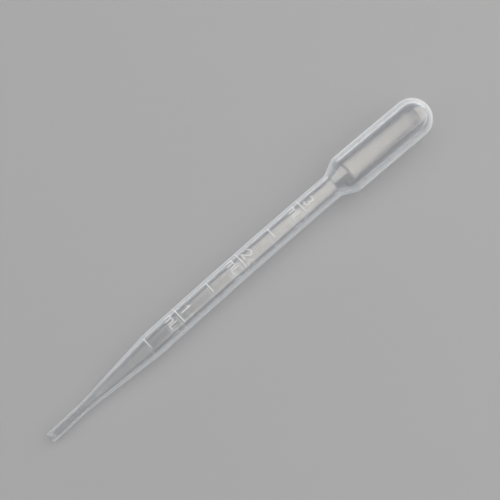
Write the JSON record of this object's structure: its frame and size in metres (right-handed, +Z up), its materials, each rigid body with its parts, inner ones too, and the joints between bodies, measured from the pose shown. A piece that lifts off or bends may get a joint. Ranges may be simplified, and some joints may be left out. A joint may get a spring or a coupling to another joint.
{
  "type": "dropper pipette",
  "caption": "One-piece squeeze-bulb transfer pipette with a drawn tip, a tapered neck, a straight stem with a raised volume scale, and a round-ended bulb.",
  "frame": {"origin": "on the surface that the pipette lies on, under the middle of its box", "axes": "+X from the tip to the bulb, +Z up; the pipette lies as it comes to rest"},
  "size_m": [0.155, 0.014, 0.0143],
  "materials": {
    "polyethylene": "natural low-density polyethylene, milky and translucent, as moulded, half gloss"
  },
  "bodies": {
    "root": {"pipette": "polyethylene"}
  },
  "joints": []
}
